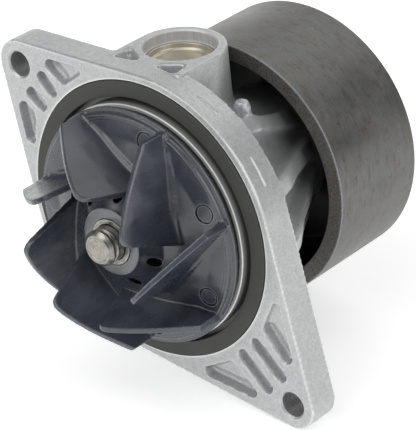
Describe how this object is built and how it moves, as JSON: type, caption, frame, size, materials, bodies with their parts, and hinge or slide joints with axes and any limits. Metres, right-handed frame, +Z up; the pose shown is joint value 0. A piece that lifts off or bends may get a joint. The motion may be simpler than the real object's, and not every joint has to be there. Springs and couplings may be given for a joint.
{
  "type": "engine coolant pump",
  "caption": "Bolt-on engine coolant pump: open-vane impeller, two-lug flange with a rubber face seal, top boss and a plain drum pulley on one shaft.",
  "frame": {"origin": "centre of the flat front end face of the shaft, on the shaft axis; the flange's mounting face is 25.5 mm behind it", "axes": "+Y along the shaft from the impeller to the pulley, +Z up through the top boss, +X to the right seen from the impeller end"},
  "size_m": [0.1299, 0.1215, 0.1131],
  "materials": {
    "cast_aluminium": "as cast, fine blast texture",
    "black_rubber": "matt",
    "dark_plastic": "moulded, soft sheen",
    "bright_steel": "ground",
    "oxide_steel": "turned and dark oxide",
    "yellow_zinc": "pressed, yellow zinc",
    "ceramic": "ground ceramic",
    "carbon": "lapped carbon",
    "cage_nylon": "moulded"
  },
  "bodies": {
    "housing": {"housing": "cast_aluminium", "face_seal": "black_rubber", "weep_plug": "yellow_zinc", "seal_cup": "bright_steel", "seal_bellows": "black_rubber", "seal_spring": "bright_steel", "bearing_sleeve": "bright_steel", "bearing_seal_front": "black_rubber", "bearing_seal_rear": "black_rubber"},
    "rotor": {"shaft": "bright_steel", "impeller": "dark_plastic", "impeller_insert": "bright_steel", "seal_seat": "ceramic", "seat_boot": "black_rubber", "pulley": "oxide_steel"},
    "carbon_face": {"carbon_ring": "carbon"},
    "ball_set": {"ball_cage": "cage_nylon", "ball_1": "bright_steel", "ball_2": "bright_steel", "ball_3": "bright_steel", "ball_4": "bright_steel", "ball_5": "bright_steel", "ball_6": "bright_steel", "ball_7": "bright_steel", "ball_8": "bright_steel"},
    "roller_set": {"roller_cage": "cage_nylon", "roller_1": "bright_steel", "roller_2": "bright_steel", "roller_3": "bright_steel", "roller_4": "bright_steel", "roller_5": "bright_steel", "roller_6": "bright_steel", "roller_7": "bright_steel", "roller_8": "bright_steel", "roller_9": "bright_steel"}
  },
  "joints": [
    {"name": "shaft_spin", "type": "hinge", "parent": "housing", "child": "rotor", "pos_m": [0, 0, 0], "axis": [0, 1, 0], "continuous": true},
    {"name": "ball_set_spin", "type": "hinge", "parent": "housing", "child": "ball_set", "pos_m": [0, 0, 0], "axis": [0, 1, 0], "continuous": true},
    {"name": "roller_set_spin", "type": "hinge", "parent": "housing", "child": "roller_set", "pos_m": [0, 0, 0], "axis": [0, 1, 0], "continuous": true},
    {"name": "seal_face_slide", "type": "slide", "parent": "housing", "child": "carbon_face", "axis": [0, 1, 0], "range_m": [0, 0.0008], "deforming": ["seal_spring", "seal_bellows"]}
  ],
  "couplings": [
    {"joint": "ball_set_spin", "follows": "shaft_spin", "ratio": 0.3643},
    {"joint": "roller_set_spin", "follows": "shaft_spin", "ratio": 0.3798}
  ]
}
